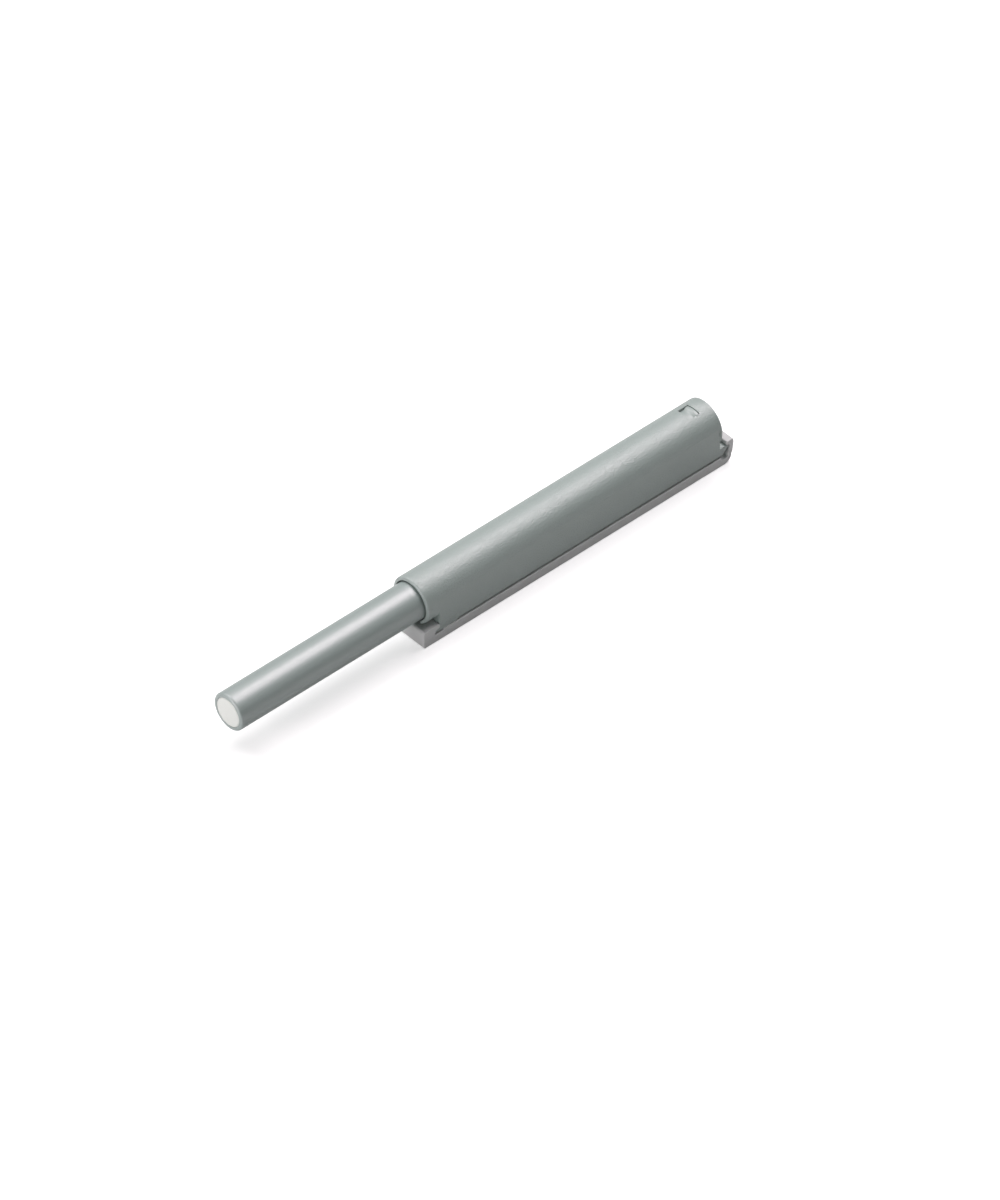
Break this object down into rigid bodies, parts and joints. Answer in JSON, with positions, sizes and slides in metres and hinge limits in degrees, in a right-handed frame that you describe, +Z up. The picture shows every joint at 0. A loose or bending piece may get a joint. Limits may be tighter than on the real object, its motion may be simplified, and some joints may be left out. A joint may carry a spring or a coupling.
{
  "type": "push to open catch",
  "caption": "Cabinet door catch: a sprung plunger in a round housing latches when pushed and pops out when pushed again; it clips on a screw-on plate.",
  "frame": {"origin": "centre of the plate's screw-hole pattern, on the plate's underside", "axes": "+X from the door towards the rear of the catch along the plunger's axis, +Z up from the panel, +Y across"},
  "size_m": [0.1235, 0.01, 0.0133],
  "materials": {
    "housing_plastic": "fine moulded grain, greenish grey",
    "plunger_plastic": "smooth satin, greenish grey",
    "plate_plastic": "fine moulded grain, light grey",
    "bumper_plastic": "smooth, soft white",
    "latch_plastic": "smooth natural acetal",
    "spring_steel": "bright drawn wire"
  },
  "bodies": {
    "plate": {"mounting_plate": "plate_plastic"},
    "catch": {"housing": "housing_plastic", "end_plug": "housing_plastic", "latch_ring": "latch_plastic", "main_spring": "spring_steel"},
    "plunger": {"plunger_tube": "plunger_plastic", "bumper": "bumper_plastic", "rotor_retainer": "latch_plastic"},
    "rotor": {"latch_rotor": "latch_plastic"}
  },
  "joints": [
    {"name": "unclip", "type": "slide", "parent": "plate", "child": "catch", "axis": [0, 0, 1], "range_m": [0, 0.024]},
    {"name": "plunger_push", "type": "slide", "parent": "catch", "child": "plunger", "axis": [1, 0, 0], "range_m": [0, 0.04], "stiffness_N_per_m": 120, "springref_m": -0.02, "deforming": ["main_spring"]},
    {"name": "rotor_spin", "type": "hinge", "parent": "plunger", "child": "rotor", "pos_m": [-0.017, 0, 0.00827], "axis": [1, 0, 0], "continuous": true}
  ]
}
